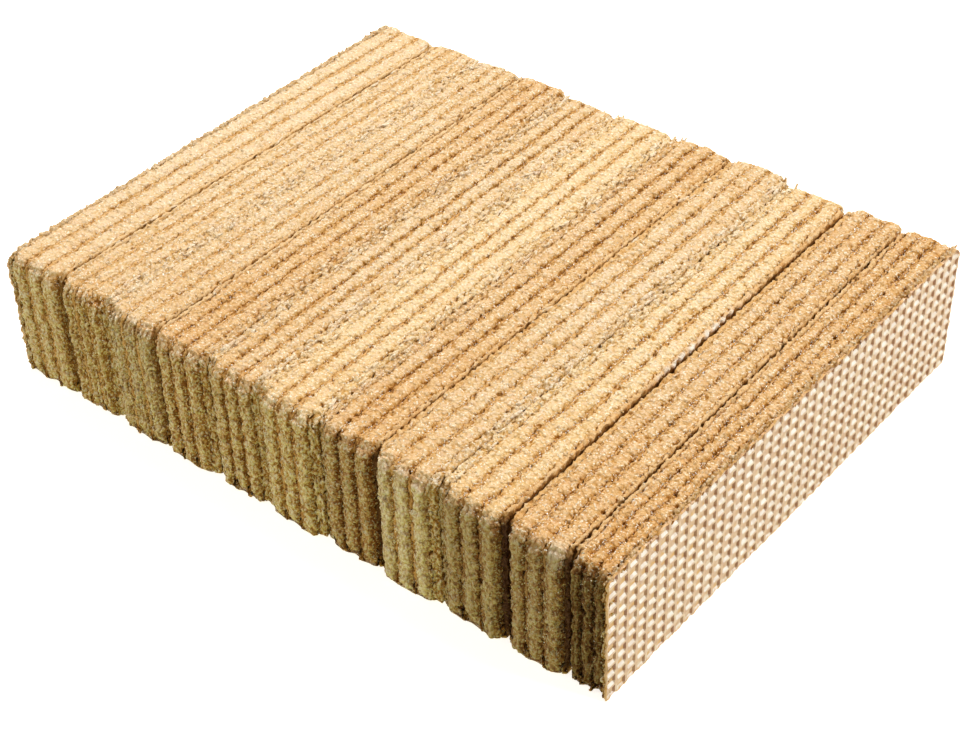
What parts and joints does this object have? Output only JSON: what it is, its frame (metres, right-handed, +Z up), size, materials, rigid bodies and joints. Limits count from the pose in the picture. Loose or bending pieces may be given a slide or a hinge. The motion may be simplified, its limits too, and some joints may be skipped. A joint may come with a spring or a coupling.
{
  "type": "brick of filled wafers",
  "caption": "Rectangular brick of crisp filled wafer biscuits standing on edge side by side, with golden sandy cut faces and a square waffle pattern on its two end faces.",
  "frame": {"origin": "middle of the brick's underside", "axes": "+X across the stacked wafers, towards the end face whose waffle pattern the picture shows; +Y along the wafers, away from the cut ends that the picture shows in shade; +Z up"},
  "size_m": [0.1404, 0.1114, 0.028],
  "materials": {
    "pale_wafer": "dry sandy biscuit, lightly baked",
    "golden_wafer": "dry sandy biscuit, golden",
    "toasted_wafer": "crisp toasted wafer sheet, orange brown"
  },
  "bodies": {
    "root": {"wafer_01": "pale_wafer", "wafer_02": "pale_wafer", "wafer_03": "pale_wafer", "wafer_04": "toasted_wafer", "wafer_05": "pale_wafer", "wafer_06": "golden_wafer", "wafer_07": "toasted_wafer", "wafer_08": "pale_wafer", "wafer_09": "golden_wafer", "wafer_10": "toasted_wafer", "wafer_11": "toasted_wafer"}
  },
  "joints": []
}
